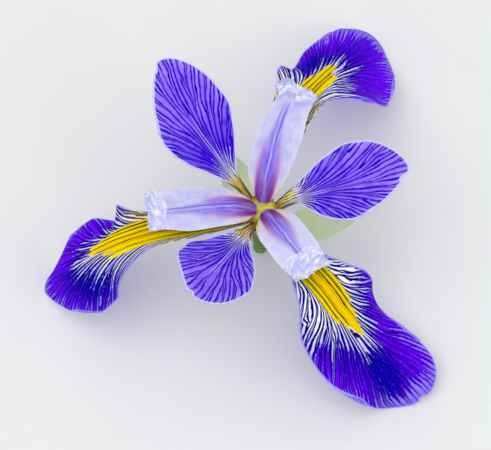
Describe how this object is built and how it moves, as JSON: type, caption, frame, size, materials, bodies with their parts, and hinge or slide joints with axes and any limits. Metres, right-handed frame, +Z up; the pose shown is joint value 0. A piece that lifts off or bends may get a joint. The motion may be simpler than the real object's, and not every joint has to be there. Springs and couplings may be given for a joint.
{
  "type": "blue flag iris flower",
  "caption": "Open blue flag iris flower, face up: drooping veined falls with yellow signals, raised standards and pale style arms on a short green stalk.",
  "frame": {"origin": "on the surface that the flower rests on, under the middle of its outline", "axes": "+Z up along the flower's axis, out of its face; +Y from the lower left of the flower towards the upper fall, its longest side"},
  "size_m": [0.0978, 0.1036, 0.0556],
  "materials": {
    "fall": "satin",
    "standard": "satin",
    "style_arm": "satin",
    "spathe": "matte",
    "stamen": "matte",
    "stalk": "satin",
    "ovary": "satin",
    "floral_tube": "satin",
    "style_column": "satin"
  },
  "bodies": {
    "root": {"fall_left": "fall", "fall_upper": "fall", "fall_lower": "fall", "standard_upper_left": "standard", "standard_right": "standard", "standard_lower_left": "standard", "style_arm_left": "style_arm", "style_arm_upper": "style_arm", "style_arm_lower": "style_arm", "spathe_outer": "spathe", "spathe_inner": "spathe", "stamen_left": "stamen", "stamen_upper": "stamen", "stamen_lower": "stamen", "stalk": "stalk", "ovary": "ovary", "floral_tube": "floral_tube", "style_column": "style_column"}
  },
  "joints": []
}
